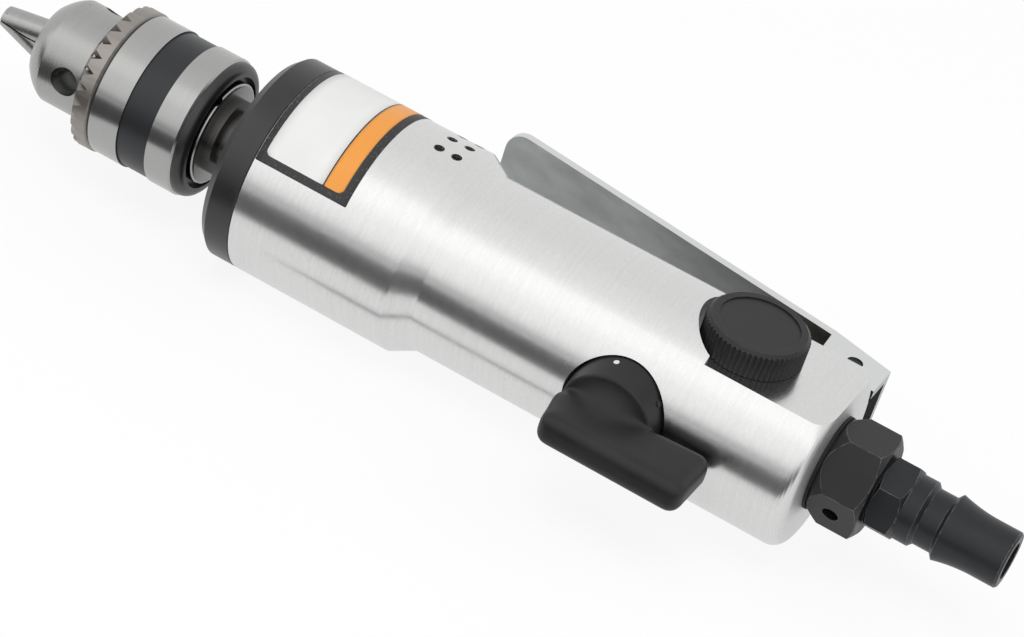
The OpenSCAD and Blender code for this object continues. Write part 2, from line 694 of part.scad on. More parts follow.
// Chuck
module chuck_place() rotate([-chuck_turn, 0, 0]) children();
module jaw_rod(i, r, s0, s1) along_spindle() rotate([0, 0, 60 + 120 * i])
    translate([jaw_axis_tip_r, 0, -jaw_tip]) rotate([0, jaw_slant, 0]) translate([0, 0, s0])
        cylinder(h = s1 - s0, r = r);
module chuck_body() color("gainsboro") chuck_place() difference() {
    turned(concat(
        [[0, -nose_front]],
        [for (i = [0 : round_steps]) let (k = i / round_steps)
            [nose_face_r + (nose_r - nose_face_r) * rise(k, nose_bend_share), nose_cone_len * k - nose_front]],
        [[nose_r, -ring_front - free_gap], [core_r, -ring_front - free_gap], [core_r, nut_s - free_gap],
            [nut_groove_r, nut_s - free_gap], [nut_groove_r, nut_s + nut_len + free_gap],
            [core_r, nut_s + nut_len + free_gap], [core_r, sleeve_end_s], [hub_r, sleeve_end_s]],
        arc(hub_r - hub_round, hub_end_s - hub_round, hub_round, 0, 90),
        [[0, hub_end_s]]));
    bar(-nose_front - over, thread_front_s - screw_web, bit_bore_r);
    bar(-nose_front - over, hub_end_s, screw_r);
    bar(thread_front_s, hub_end_s + over, thread_r);
    for (i = [0 : 2]) {
        jaw_rod(i, jaw_r + run_gap, -jaw_len, 2 * jaw_len);
        along_spindle() rotate([0, 0, 120 * i]) translate([nose_r - key_hole_depth, 0, key_hole_s])
            rotate([0, 90, 0]) cylinder(h = nose_r, r = key_hole_r);
    }
}
module chuck_jaw(i) color("silver") chuck_place() intersection() {
    jaw_rod(i, jaw_r, -jaw_len, 2 * jaw_len);
    along_spindle() rotate([0, 0, 60 + 120 * i]) translate([jaw_gap / sin(60), 0, -jaw_tip])
        linear_extrude(jaw_len) polygon([[0, 0], [sleeve_r / 2, -sleeve_r / 2 * tan(60)], [2 * sleeve_r, 0],
            [sleeve_r / 2, sleeve_r / 2 * tan(60)]]);
}
module chuck_screw() color("dimgray") difference() {
    union() {
        ring(thread_front_s - screw_web - screw_head_len, thread_front_s - screw_web, 0, screw_head_r);
        ring(thread_front_s - screw_web, thread_front_s + screw_len, 0, screw_r);
    }
    along_spindle() translate([0, 0, thread_front_s - screw_web - screw_head_len - over])
        cylinder(h = screw_head_len, r = hex_key_r, $fn = 6);
}
module chuck_rear_ring() color([0.1, 0.1, 0.1]) turned(concat(
    [[hub_r, sleeve_end_s + run_gap], [rear_ring_r, sleeve_end_s + run_gap]],
    arc(rear_ring_r - rear_ring_round, rear_ring_end_s - rear_ring_round, rear_ring_round, 0, 90),
    [[rear_recess_r, rear_ring_end_s], [rear_recess_r, rear_ring_end_s - rear_recess_len],
        [hub_r, rear_ring_end_s - rear_recess_len]]));
module chuck_key_ring() color([0.62, 0.57, 0.5]) chuck_place() difference() {
    rotate([180 / ring_teeth, 0, 0]) turned([[nose_r + free_gap, -ring_front], [ring_face_r, -ring_front],
        [ring_r, ring_bevel_len - ring_front], [ring_r, sleeve_s - edge], [sleeve_r - edge, sleeve_s],
        [sleeve_in_r, sleeve_s], [sleeve_in_r, nut_s], [nose_r + free_gap, nut_s]]);
    for (i = [0 : ring_teeth - 1]) along_spindle() rotate([0, 0, 360 * i / ring_teeth])
        translate([ring_face_r, 0, edge - ring_front]) rotate([0, -root_lean, 0]) rotate([90, 0, 90])
        translate([0, 0, -2 * over]) linear_extrude(sleeve_r) polygon([[0, 0],
            [-2 * ring_bevel_len * notch_spread, -2 * ring_bevel_len],
            [2 * ring_bevel_len * notch_spread, -2 * ring_bevel_len]]);
}
module chuck_sleeve() color("gainsboro") turned([
    [sleeve_in_r, sleeve_s], [sleeve_r - edge, sleeve_s], [sleeve_r, sleeve_s + edge], [sleeve_r, band_s],
    [sleeve_r - band_depth, band_s], [sleeve_r - band_depth, band_end_s], [sleeve_r, band_end_s],
    [sleeve_r, sleeve_end_s - edge], [sleeve_r - edge, sleeve_end_s], [core_r + free_gap, sleeve_end_s],
    [core_r + free_gap, sleeve_end_s - sleeve_guide_len], [sleeve_in_r, sleeve_end_s - sleeve_guide_len]]);
function rod_outer(s) = tip_outer_r + (s + jaw_tip) * tan(jaw_slant) + jaw_r * (1 / cos(jaw_slant) - 1);
module chuck_nut() color("darkgray") difference() {
    turned([[rod_outer(nut_s) + nut_gap, nut_s], [sleeve_in_r, nut_s], [sleeve_in_r, nut_s + nut_len],
        [rod_outer(nut_s + nut_len) + nut_gap, nut_s + nut_len]]);
    at(nut_s + nut_len + over) translate([0, -run_gap, -sleeve_r])
        cube([nut_len + 2 * over, 2 * run_gap, 2 * sleeve_r]);
}

// Throttle lever and valve
module lever_profile() polygon([
    [-lever_tip_s, -lever_tip_h], [-lever_bend_s, -lever_bend_h], [-lever_rear_s, -lever_rear_h],
    [-lever_rear_s, lever_t / cos(lever_rear_slope) - lever_rear_h],
    [-lever_bend_s, lever_t / cos(lever_slope) - lever_bend_h],
    [-lever_tip_s, lever_t / cos(lever_slope) - lever_tip_h]]);
module lever_outline() polygon(concat(
    [[-lever_rear_s, -lever_half_w]],
    arc(-lever_tip_s - lever_corner, lever_corner - lever_half_w, lever_corner, -90, 0),
    arc(-lever_tip_s - lever_corner, lever_half_w - lever_corner, lever_corner, 0, 90),
    [[-lever_rear_s, lever_half_w]]));
module lever_ear() polygon([
    [ear_front_lead - pin_s, -lever_bend_h], [-lever_rear_s, -lever_rear_h], [-lever_rear_s, -ear_h],
    [ear_chamfer - pin_s, -ear_h], [ear_front_lead - pin_s - edge, -pin_h]]);
module throttle_lever() color("lightsteelblue") difference() {
    union() {
        intersection() {
            translate([0, 0, -lever_half_w]) linear_extrude(2 * lever_half_w) lever_profile();
            rotate([90, 0, 0]) linear_extrude(2 * lever_tip_h) lever_outline();
        }
        for (z = [-lever_half_w, lever_half_w - lever_t]) translate([0, 0, z])
            linear_extrude(lever_t) lever_ear();
    }
    translate([-pin_s, -pin_h, -lever_half_w - over])
        cylinder(h = 2 * (lever_half_w + over), r = pin_r + run_gap);
}
module lever_pin() color("dimgray") translate([-pin_s, -pin_h, free_gap - lever_half_w])
    cylinder(h = 2 * (lever_half_w - free_gap), r = pin_r);
module throttle_stem() color("goldenrod") to_lever(valve_s) {
    translate([0, 0, stem_tip_h - stem_r]) sphere(r = stem_r);
    translate([0, 0, poppet_h]) cylinder(h = stem_tip_h - stem_r - poppet_h, r = stem_r);
    translate([0, 0, poppet_h]) cylinder(h = poppet_len, r = poppet_r);
}
module throttle_guide() color("goldenrod") to_lever(valve_s) difference() {
    translate([0, 0, valve_guide_h]) cylinder(h = valve_guide_len, r = valve_bore_r);
    translate([0, 0, valve_guide_h - over]) cylinder(h = valve_guide_len + 2 * over, r = stem_r + run_gap);
}
module throttle_seal() color("black") to_lever(valve_s)
    seal(stem_r + run_gap + seal_cord_r, valve_guide_h + valve_guide_len + seal_cord_r);

// Spring: one tube swept along a helix
function helix(i, n) = let (a = 360 * spring_coils * i / n)
    [spring_r * cos(a), spring_r * sin(a),
        spring_wire_r + free_gap / 2 + (spring_h - 2 * spring_wire_r - free_gap) * i / n];
function wire_ring(i, n) = let (a = 360 * spring_coils * i / n, p = helix(i, n))
    [for (k = [0 : wire_sides - 1]) let (t = 360 * k / wire_sides)
        p + spring_wire_r * [cos(t) * cos(a), cos(t) * sin(a), sin(t)]];
wire_sides = 6;
module throttle_spring() color("silver") to_lever(valve_s) translate([0, 0, valve_floor_h]) {
    n = spring_coils * 12;
    polyhedron(points = [for (i = [0 : n]) each wire_ring(i, n)],
        faces = concat(
            [[for (k = [0 : wire_sides - 1]) k]],
            [for (i = [0 : n - 1], k = [0 : wire_sides - 1]) let (a = i * wire_sides, b = a + wire_sides,
                k2 = (k + 1) % wire_sides) each [[a + k, b + k, b + k2], [a + k, b + k2, a + k2]]],
            [[for (k = [wire_sides - 1 : -1 : 0]) n * wire_sides + k]]));
}

// Regulator
module regulator_knob() color([0.12, 0.12, 0.12]) at(knob_s)
translate([0, 0, flat_z + knob_gap]) difference() {
    intersection() {
        linear_extrude(knob_h) polygon([for (i = [0 : 2 * knob_ribs - 1])
            let (a = 180 * i / knob_ribs, r = knob_r - rib_depth * (i % 2)) [r * cos(a), r * sin(a)]]);
        rotate_extrude() polygon([[0, 0], [knob_r + edge, 0], [knob_r + edge, knob_h - knob_bevel - edge],
            [knob_r - knob_bevel, knob_h], [0, knob_h]]);
    }
    translate([0, 0, knob_h - knob_dish]) cylinder(h = over, r = knob_r - knob_bevel - knob_rim);
    translate([0, 0, -over]) cylinder(h = knob_h / 2 + over, r = reg_stem_r);
}
module regulator_spool() color("goldenrod") at(knob_s) difference() {
    union() {
        translate([0, 0, spool_gap - reg_floor_z])
            cylinder(h = reg_shoulder_z + reg_floor_z - spool_gap, r = reg_bore_r - run_gap);
        cylinder(h = flat_z + knob_gap + knob_h / 2, r = reg_stem_r);
    }
    translate([0, 0, reg_seal_z - seal_cord_r - run_gap]) difference() {
        cylinder(h = 2 * (seal_cord_r + run_gap), r = reg_bore_r + over);
        cylinder(h = 2 * (seal_cord_r + run_gap), r = reg_bore_r - 2 * seal_cord_r - 2 * run_gap);
    }
    for (a = [0, 90]) rotate([90, 0, a]) translate([0, 0, -reg_bore_r - over])
        cylinder(h = 2 * (reg_bore_r + over), r = air_r);
}
module regulator_seal() color("black") at(knob_s) seal(reg_bore_r - run_gap - seal_cord_r, reg_seal_z);
module regulator_clip() color("dimgray") at(knob_s)
    snap_ring(reg_stem_r + free_gap, reg_bore_r + clip_groove - run_gap, reg_shoulder_z + side_gap);

// Reverse switch
module grip_corner(x, y) for (z = [-1, 1]) translate([x, z * (grip_t / 2 - grip_round), y])
    sphere(r = grip_round, $fn = 32);
module reverse_handle() color([0.15, 0.15, 0.15]) to_reverse(rev_s) difference() {
    union() {
        translate([0, 0, disc_y - disc_t]) cylinder(h = disc_t, r = disc_r);
        translate([0, 0, disc_y]) rotate_extrude() polygon(concat([[0, 0], [disc_r, 0]],
            [for (i = [0 : round_steps]) let (a = 90 * i / round_steps)
                [hub_top_r - (hub_top_r - flare_top_r) * sin(a), hub_h + flare_len * (1 - cos(a))]],
            [[0, hub_h + flare_len]]));
        hull() {
            grip_corner(disc_r - edge - grip_round, disc_y + hub_h - edge + grip_round);
            grip_corner(grip_front - grip_round, grip_y - grip_round);
            grip_corner(grip_round - grip_rear, grip_y - grip_round);
            grip_corner(grip_round - grip_rear, grip_under_y + grip_round);
        }
    }
    translate([0, 0, disc_y - disc_t - over]) cylinder(h = disc_t + over, r = rev_stem_r);
}
module reverse_spool() color("slategray") to_reverse(rev_s) difference() {
    union() {
        translate([0, 0, spool_gap - rev_floor_y])
            cylinder(h = rev_shoulder_y + rev_floor_y - spool_gap, r = rev_bore_r - run_gap);
        cylinder(h = disc_y, r = rev_stem_r);
    }
    for (y = [rev_seal_y, 2 * spool_gap - rev_floor_y + 2 * seal_cord_r])
        translate([0, 0, y - seal_cord_r - run_gap]) difference() {
            cylinder(h = 2 * (seal_cord_r + run_gap), r = rev_bore_r + over);
            cylinder(h = 2 * (seal_cord_r + run_gap), r = rev_bore_r - 2 * seal_cord_r - 2 * run_gap);
        }
    for (side = [-1, 1]) translate([-rev_bore_r, side * rev_flat_y - (side < 0 ? rev_bore_r : 0), -air_r / 2])
        cube([2 * rev_bore_r, rev_bore_r, 2 * air_r]);
}
module reverse_seals() color("black") to_reverse(rev_s)
    for (y = [rev_seal_y, 2 * spool_gap - rev_floor_y + 2 * seal_cord_r])
        seal(rev_bore_r - run_gap - seal_cord_r, y);
module reverse_clip() color("dimgray") to_reverse(rev_s)
    snap_ring(rev_stem_r + free_gap, rev_bore_r + clip_groove - run_gap, rev_shoulder_y + side_gap);

// Air inlet
module inlet_bushing() color([0.1, 0.1, 0.1]) difference() {
    union() {
        hex_bar(bush_s, bush_end_s, bush_flats, bush_turn, bush_turn_share);
        ring(body_len - bush_thread_len, bush_s, 0, bush_thread_r - run_gap);
    }
    bar(bush_end_s - plug_thread_len, bush_end_s + over, plug_thread_r);
    bar(body_len - bush_thread_len - over, bush_end_s, screen_r + run_gap);
    along_spindle() rotate([0, 0, bush_turn + 90])
        translate([bush_flats / 2 - bush_hole_depth, 0, (bush_s + bush_end_s) / 2])
        rotate([0, 90, 0]) cylinder(h = bush_flats, r = bush_hole_r);
}
module inlet_seal() color("black") ring(body_len, bush_s, bush_thread_r, bush_thread_r + seal_wall);
module inlet_screen() color("goldenrod") {
    s0 = body_len - bush_thread_len;
    turned([[0, s0], [screen_r, s0], [screen_r, s0 + screen_len], [screen_r - screen_wall, s0 + screen_len],
        [screen_r - screen_wall, s0 + screen_wall], [0, s0 + screen_wall]]);
}
module air_plug() color([0.13, 0.13, 0.14]) difference() {
    union() {
        hex_bar(plug_s, plug_collar_s, plug_flats, plug_turn, hex_turn_share);
        ring(bush_end_s - plug_thread_len, plug_s + edge, 0, plug_thread_r - run_gap);
        turned(concat(
            [[0, plug_collar_s - edge], [collar_r, plug_collar_s - edge], [collar_r, plug_neck_s - edge],
                [neck_r, plug_neck_s + edge], [neck_r, plug_head_s - edge], [head_r, plug_head_s + edge]],
            [for (i = [1 : round_steps]) let (k = i / round_steps)
                [head_r - (head_r - tip_r) * rise(k, 1), plug_head_s + edge + (head_len - edge) * k]],
            [[tip_r, plug_end_s - edge], [tip_r - edge, plug_end_s], [0, plug_end_s]]));
    }
    bar(bush_end_s - plug_thread_len - over, plug_end_s + over, plug_bore_r);
}

housing();
front_cap();
bearing_clip();
ring_gear();
front_end_plate();
motor_cylinder();
rear_end_plate();
cylinder_dowel();
gasket();
muffler_felt();
bearing_outer(spindle_brg_s, spindle_brg_w, spindle_brg_in, spindle_brg_out);  // spindle_bearing_outer
bearing_inner(spindle_brg_s, spindle_brg_w, spindle_brg_in, spindle_brg_out);  // spindle_bearing_inner
bearing_balls(spindle_brg_s, spindle_brg_w, spindle_brg_in, spindle_brg_out, 10);  // spindle_bearing_balls
bearing_outer(ring_gear_end_s, rotor_brg_w, front_brg_in, front_brg_out);  // front_bearing_outer
bearing_inner(ring_gear_end_s, rotor_brg_w, front_brg_in, front_brg_out);  // front_bearing_inner
bearing_balls(ring_gear_end_s, rotor_brg_w, front_brg_in, front_brg_out, 11);  // front_bearing_balls
bearing_outer(rear_plate_end_s - rotor_brg_w, rotor_brg_w, rear_brg_in, rear_brg_out);  // rear_bearing_outer
bearing_inner(rear_plate_end_s - rotor_brg_w, rotor_brg_w, rear_brg_in, rear_brg_out);  // rear_bearing_inner
bearing_balls(rear_plate_end_s - rotor_brg_w, rotor_brg_w, rear_brg_in, rear_brg_out, 8);  // rear_bearing_balls
spindle();
spindle_spacer();
carrier_plate();
planet_pins();
planet_gear(0);  // planet_gear_1
planet_gear(1);  // planet_gear_2
planet_gear(2);  // planet_gear_3
rotor();
rotor_vanes();
chuck_body();
chuck_screw();
chuck_rear_ring();
chuck_key_ring();
chuck_sleeve();
chuck_nut();
chuck_jaw(0);  // chuck_jaw_1
chuck_jaw(1);  // chuck_jaw_2
chuck_jaw(2);  // chuck_jaw_3
throttle_lever();
lever_pin();
throttle_stem();
throttle_guide();
throttle_seal();
throttle_spring();
regulator_knob();
regulator_spool();
regulator_seal();
regulator_clip();
reverse_handle();
reverse_spool();
reverse_seals();
reverse_clip();
inlet_bushing();
inlet_seal();
inlet_screen();
air_plug();
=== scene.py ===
"""Looks of a straight air drill with a keyed chuck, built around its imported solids."""

import json
import math

import bpy
from mathutils import Matrix, Vector


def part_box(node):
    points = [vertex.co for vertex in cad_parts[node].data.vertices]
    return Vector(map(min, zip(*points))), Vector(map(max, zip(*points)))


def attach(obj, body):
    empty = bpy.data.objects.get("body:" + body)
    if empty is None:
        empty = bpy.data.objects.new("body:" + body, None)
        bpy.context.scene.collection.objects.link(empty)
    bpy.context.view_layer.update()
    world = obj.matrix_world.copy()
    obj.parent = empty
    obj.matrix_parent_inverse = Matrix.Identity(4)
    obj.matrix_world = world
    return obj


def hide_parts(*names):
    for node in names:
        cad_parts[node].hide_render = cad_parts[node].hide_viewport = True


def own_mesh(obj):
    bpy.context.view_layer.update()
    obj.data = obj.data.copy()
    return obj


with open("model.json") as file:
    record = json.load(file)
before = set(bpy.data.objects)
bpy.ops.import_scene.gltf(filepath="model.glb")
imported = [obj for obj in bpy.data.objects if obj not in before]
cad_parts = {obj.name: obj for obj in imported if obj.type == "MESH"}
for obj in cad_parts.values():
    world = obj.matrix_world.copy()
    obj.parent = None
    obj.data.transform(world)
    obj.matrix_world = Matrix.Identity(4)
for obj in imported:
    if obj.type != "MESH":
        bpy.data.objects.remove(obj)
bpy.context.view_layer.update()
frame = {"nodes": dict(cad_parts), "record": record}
nodes = frame["nodes"]
MM = 0.001
WHITE = (1.0, 1.0, 1.0)

# Camera: a long lens that looks down at the drill from its rear, on the reverse switch's side
CAMERA_AT = Vector((-227.1, 543.1, 386.2)) * MM
CAMERA_RIGHT = Vector((-0.8497, -0.4594, 0.2586))
CAMERA_UP = Vector((0.4631, -0.4161, 0.7826))
CAMERA_LENS = 126.3
SENSOR_WIDTH = 36.0
CLIP_START = 0.01

# Sizes that the dressing takes from the solids
FLOOR_GAP = 0.2 * MM
BODY_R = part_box("front_cap")[1].z
FLOOR_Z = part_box("housing")[0].z - FLOOR_GAP


def link_in(item):
    """Puts an object into the scene."""
    bpy.context.scene.collection.objects.link(item)
    return item


def new_material(name, color, metallic, roughness):
    """A material with a Principled shader, and its node tree."""
    material = bpy.data.materials.new(name)
    material.use_nodes = True
    shader = material.node_tree.nodes["Principled BSDF"]
    shader.inputs["Base Color"].default_value = (*color, 1.0)
    shader.inputs["Metallic"].default_value = metallic
    shader.inputs["Roughness"].default_value = roughness
    return material, material.node_tree, shader


def noise(tree, scale, detail=4.0):
    """Noise in object space, stretched by a scale on each axis."""
    coords = tree.nodes.new("ShaderNodeTexCoord")
    mapping = tree.nodes.new("ShaderNodeMapping")
    mapping.inputs["Scale"].default_value = scale
    tree.links.new(coords.outputs["Object"], mapping.inputs["Vector"])
    node = tree.nodes.new("ShaderNodeTexNoise")
    node.inputs["Scale"].default_value = 1.0
    node.inputs["Detail"].default_value = detail
    tree.links.new(mapping.outputs["Vector"], node.inputs["Vector"])
    return node.outputs["Fac"]


def spread(tree, value, low, high, start=0.3, end=0.7):
    """Maps a value that runs from a start to an end to another range."""
    node = tree.nodes.new("ShaderNodeMapRange")
    node.inputs["From Min"].default_value = start
    node.inputs["From Max"].default_value = end
    node.inputs["To Min"].default_value = low
    node.inputs["To Max"].default_value = high
    tree.links.new(value, node.inputs["Value"])
    return node.outputs["Result"]


def worked_out(tree, operation, one, two):
    """The result of an operation on two values, given as numbers or sockets."""
    node = tree.nodes.new("ShaderNodeMath")
    node.operation = operation
    for i, value in enumerate((one, two)):
        if isinstance(value, float):
            node.inputs[i].default_value = value
        else:
            tree.links.new(value, node.inputs[i])
    return node.outputs["Value"]


def axes_of(tree, kind):
    """The X, Y and Z of one kind of texture coordinate."""
    coords = tree.nodes.new("ShaderNodeTexCoord")
    split = tree.nodes.new("ShaderNodeSeparateXYZ")
    tree.links.new(coords.outputs[kind], split.inputs["Vector"])
    return split.outputs


def mix_sockets(tree, kind):
    """The sockets of a new Mix node, by their identifiers."""
    node = tree.nodes.new("ShaderNodeMix")
    node.data_type = kind
    return {s.identifier: s for s in list(node.inputs) + list(node.outputs)}


def tint(tree, value, dark, light):
    """Blends two colours, given as numbers or sockets, by a value."""
    sockets = mix_sockets(tree, "RGBA")
    for key, color in (("A_Color", dark), ("B_Color", light)):
        if isinstance(color, tuple):
            sockets[key].default_value = (*color, 1.0)
        else:
            tree.links.new(color, sockets[key])
    tree.links.new(value, sockets["Factor_Float"])
    return sockets["Result_Color"]


def shade(color, share):
    """A colour at a share of its brightness."""
    return tuple(c * share for c in color)


# Noise scales on X, Y and Z, per metre: turned marks run round the spindle, brushing runs along it
TURNED = (4600, 120, 120)
SATIN = (4600, 900, 900)
FEED = (1700, 40, 40)
ALONG = (30, 900, 900)
BLOTCHED = (110, 260, 260)
PITS = (1300, 1300, 1300)
SPECKS = (2200, 2200, 2200)
EDGE_BREAKUP = (700, 700, 700)
METAL_CLOUDS = (60, 60, 60)
COAT_CLOUDS = (90, 90, 90)
FILM_CLOUDS = (120, 120, 120)
CLOUD_DETAIL = 3.0
FEED_DETAIL = 2.0
DOT_DETAIL = 1.0

# Values between which pits, specks, the break-up of the lighter edges, edges and the painted shade of
# recesses come up
PIT_RANGE = (0.75, 0.78)
SPECK_RANGE = (0.6, 0.75)
EDGE_BREAKUP_RANGE = (0.4, 0.6)
EDGE_RANGE = (0.97, 0.995)
RECESS_RANGE = (0.2, 0.75)

# How far marks change a surface: brightness shares, changes of roughness, depth and width
LEAST_EDGE_BREAKUP = 0.15
RING_SHADE = 0.8
PIT_SHADE = 0.3
# Share of brightness left where shade is painted into holes, gaps and corners
PAINTED_SHADE_SHARE = 0.1
COAT_SHADES = (0.75, 1.25)
FILM_SHADE = 0.96
FILM_GRAIN = 500.0
FILM_RELIEF = 0.02
FILM_GLOSS = 0.4
MARK_ROUGHNESS = 0.012
RING_ROUGHNESS = 0.02
METAL_CLOUD_ROUGHNESS = 0.015
COAT_CLOUD_ROUGHNESS = 0.05
BUMP_DEPTH = 0.1 * MM
EDGE_WIDTH = 0.22 * MM


def bump(tree, shader, height, strength):
    """Relief from a height."""
    node = tree.nodes.new("ShaderNodeBump")
    node.inputs["Strength"].default_value = strength
    node.inputs["Distance"].default_value = BUMP_DEPTH
    tree.links.new(height, node.inputs["Height"])
    tree.links.new(node.outputs["Normal"], shader.inputs["Normal"])


def edge_mask(tree, width):
    """1 along the edges of a solid, 0 on its faces, broken up by a noise."""
    bevel = tree.nodes.new("ShaderNodeBevel")
    bevel.inputs["Radius"].default_value = width
    geometry = tree.nodes.new("ShaderNodeNewGeometry")
    dot = tree.nodes.new("ShaderNodeVectorMath")
    dot.operation = "DOT_PRODUCT"
    tree.links.new(bevel.outputs["Normal"], dot.inputs[0])
    tree.links.new(geometry.outputs["Normal"], dot.inputs[1])
    edge = spread(tree, dot.outputs["Value"], 1.0, 0.0, *EDGE_RANGE)
    wear_and_highlight = spread(tree, noise(tree, EDGE_BREAKUP), LEAST_EDGE_BREAKUP, 1.0, *EDGE_BREAKUP_RANGE)
    return worked_out(tree, "MULTIPLY", edge, wear_and_highlight)


def painted_recess_shade(tree, reach):
    """1 deep in holes, gaps and close to other parts, 0 in the open: a mask for painted shade."""
    around = tree.nodes.new("ShaderNodeAmbientOcclusion")
    around.inputs["Distance"].default_value = reach
    return spread(tree, around.outputs["AO"], 1.0, 0.0, *RECESS_RANGE)


def worked_metal(name, color, roughness, grain, contrast=0.03, relief=0.015,
                 spots=0.0, painted_shade_reach=0.0, rings=0.0):
    """Metal with a fine grain, tool marks or brushing, stretched by the grain's scale."""
    material, tree, shader = new_material(name, color, 1.0, roughness)
    marks = noise(tree, grain)
    clouds = noise(tree, METAL_CLOUDS, CLOUD_DETAIL)
    coat = tint(tree, spread(tree, marks, 0.0, 1.0), shade(color, 1 - contrast), color)
    uneven = spread(tree, clouds, -METAL_CLOUD_ROUGHNESS, METAL_CLOUD_ROUGHNESS)
    if rings:
        feed = noise(tree, FEED, FEED_DETAIL)
        coat = tint(tree, spread(tree, feed, 0.0, rings), coat, shade(color, RING_SHADE))
        uneven = worked_out(tree, "ADD", uneven, spread(tree, feed, -RING_ROUGHNESS, RING_ROUGHNESS))
    if spots:
        pits = spread(tree, noise(tree, PITS, DOT_DETAIL), 0.0, spots, *PIT_RANGE)
        coat = tint(tree, pits, coat, shade(color, PIT_SHADE))
    # Painted shade: darker where holes, gaps and nearby parts close in on the surface
    if painted_shade_reach:
        coat = tint(tree, painted_recess_shade(tree, painted_shade_reach), coat, shade(color, PAINTED_SHADE_SHARE))
    tree.links.new(coat, shader.inputs["Base Color"])
    fine = spread(tree, marks, roughness - MARK_ROUGHNESS, roughness + MARK_ROUGHNESS)
    tree.links.new(worked_out(tree, "ADD", fine, uneven), shader.inputs["Roughness"])
    bump(tree, shader, marks, relief)
    return material


def coated(name, color, roughness, scale, relief, gloss, wear_and_highlight=None, edge_width=EDGE_WIDTH):
    """Paint, oxide, plastic or felt with a fine uneven surface, and lighter edges where it has them: wear,
    and partly a painted highlight.
    """
    material, tree, shader = new_material(name, color, 0.0, roughness)
    shader.inputs["Specular IOR Level"].default_value = gloss
    grain = noise(tree, (scale, scale, scale))
    clouds = noise(tree, COAT_CLOUDS, CLOUD_DETAIL)
    dark, light = (shade(color, share) for share in COAT_SHADES)
    coat = tint(tree, spread(tree, clouds, 0.0, 1.0), dark, light)
    # Lighter edges: wear, and partly a painted highlight where rounded edges would catch the light
    if wear_and_highlight:
        coat = tint(tree, edge_mask(tree, edge_width), coat, wear_and_highlight)
    tree.links.new(coat, shader.inputs["Base Color"])
    uneven = spread(tree, clouds, roughness - COAT_CLOUD_ROUGHNESS, roughness + COAT_CLOUD_ROUGHNESS)
    tree.links.new(uneven, shader.inputs["Roughness"])
    bump(tree, shader, grain, relief)
    return material


def printed(name, color, roughness, specks=None):
    """Smooth printed film, with fine specks where a colour is given for them."""
    material = coated(name, color, roughness, FILM_GRAIN, FILM_RELIEF, FILM_GLOSS)
    tree = material.node_tree
    clouds = noise(tree, FILM_CLOUDS, CLOUD_DETAIL)
    coat = tint(tree, spread(tree, clouds, 0.0, 1.0), shade(color, FILM_SHADE), color)
    if specks:
        dots = spread(tree, noise(tree, SPECKS, DOT_DETAIL), 0.0, 1.0, *SPECK_RANGE)
        coat = tint(tree, dots, coat, specks)
    tree.links.new(coat, tree.nodes["Principled BSDF"].inputs["Base Color"])
    return material


def rewire(material, factor, values):
    """Blends other values into a material's shader where a factor is 1."""
    tree = material.node_tree
    shader = tree.nodes["Principled BSDF"]
    for socket, value in values.items():
        kind, end = ("RGBA", "Color") if isinstance(value, tuple) else ("FLOAT", "Float")
        sockets = mix_sockets(tree, kind)
        links = shader.inputs[socket].links
        if links:
            tree.links.new(links[0].from_socket, sockets["A_" + end])
        else:
            sockets["A_" + end].default_value = shader.inputs[socket].default_value
        sockets["B_" + end].default_value = (*value, 1.0) if kind == "RGBA" else value
        tree.links.new(factor, sockets["Factor_Float"])
        tree.links.new(sockets["Result_" + end], shader.inputs[socket])
    return material


def banded(material, low, high, values):
    """Blends other values into a material between two places on X."""
    tree = material.node_tree
    inside = tree.nodes.new("ShaderNodeMath")
    inside.operation = "COMPARE"
    inside.inputs[1].default_value = (low + high) / 2
    inside.inputs[2].default_value = (high - low) / 2
    tree.links.new(axes_of(tree, "Object")["X"], inside.inputs[0])
    return rewire(material, inside.outputs["Value"], values)


def faced(material, axis, low, high, values):
    """Blends other values into a material where its faces look along an axis."""
    tree = material.node_tree
    facing = spread(tree, axes_of(tree, "Normal")[axis], 0.0, 1.0, low, high)
    return rewire(material, facing, values)


# Faces that look to the rear and up: the axis, and its share where the change starts and ends
REAR_FACES = ("X", -0.7, -0.95)
UP_FACES = ("Z", 0.4, 0.7)
# Lighter edges on steel and plastic: wear, and partly a painted highlight along the edges
STEEL_EDGE_WEAR_AND_HIGHLIGHT = (0.16, 0.16, 0.165)
PLASTIC_EDGE_WEAR_AND_HIGHLIGHT = (0.05, 0.05, 0.05)
PLASTIC_EDGE_WIDTH = 0.15 * MM
SLEEVE_BAND = (24.25 * MM, 31.0 * MM)
